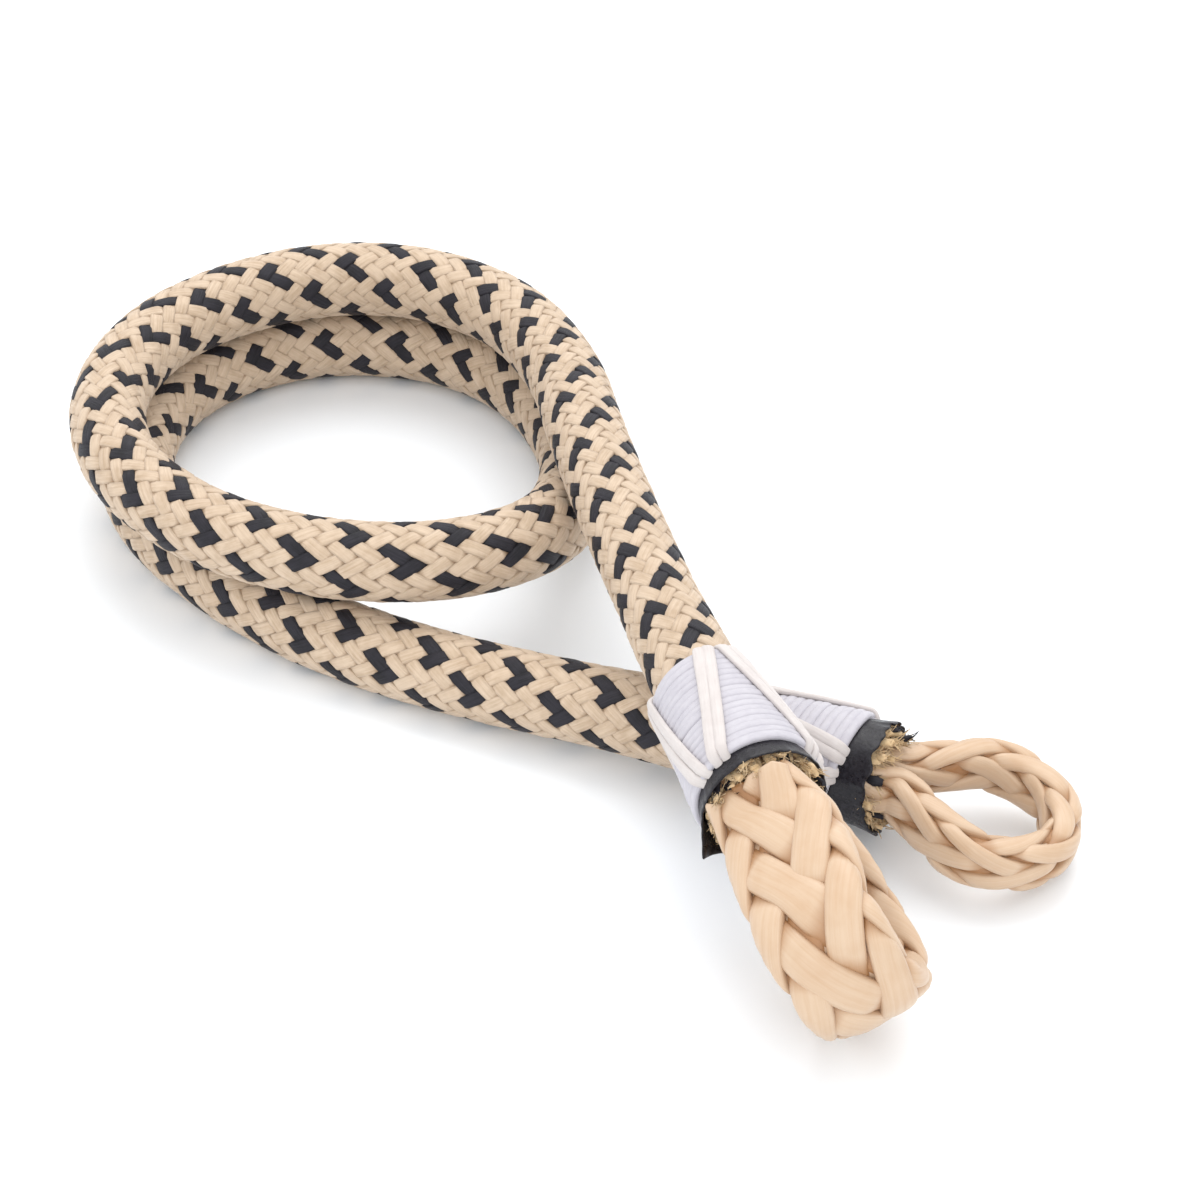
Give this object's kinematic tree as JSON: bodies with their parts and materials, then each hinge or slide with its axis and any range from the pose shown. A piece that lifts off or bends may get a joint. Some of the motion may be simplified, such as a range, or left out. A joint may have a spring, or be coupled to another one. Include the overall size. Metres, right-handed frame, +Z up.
{
  "type": "eye-to-eye rope strop",
  "caption": "Short braided rope strop laid in a coil, with a whipped and spliced soft eye at each end for a halter, pin or ring.",
  "frame": {"origin": "centre of the footprint on the surface that the strop lies on", "axes": "+X along the strop from the coil to the eyes, +Z up from the surface"},
  "size_m": [0.1642, 0.0712, 0.0278],
  "materials": {
    "cover_yarn": "matte",
    "core_yarn": "satin",
    "whipping_twine": "satin",
    "frapping_twine": "satin",
    "shrink_sleeve": "gloss"
  },
  "bodies": {
    "rope": {"cover_braid": "cover_yarn", "core_rope": "core_yarn", "front_splice_tail": "core_yarn", "rear_splice_tail": "core_yarn", "front_cover_fringe": "cover_yarn", "rear_cover_fringe": "cover_yarn", "front_shrink_sleeve": "shrink_sleeve", "rear_shrink_sleeve": "shrink_sleeve", "front_whipping": "whipping_twine", "rear_whipping": "whipping_twine", "front_frapping": "frapping_twine", "rear_frapping": "frapping_twine"},
    "front_eye": {"front_eye": "core_yarn"},
    "rear_eye": {"rear_eye": "core_yarn"}
  },
  "joints": [
    {"name": "front_eye_flex", "type": "hinge", "parent": "rope", "child": "front_eye", "pos_m": [0.05674, -0.00712, 0.01948], "axis": [0.2907, -0.6407, 0.7106], "range_deg": [0, 30], "stiffness_Nm_per_rad": 0.05},
    {"name": "rear_eye_flex", "type": "hinge", "parent": "rope", "child": "rear_eye", "pos_m": [0.05, 0.01713, 0.00847], "axis": [0.6285, -0.7777, -0.0076], "range_deg": [0, 30], "stiffness_Nm_per_rad": 0.05}
  ]
}
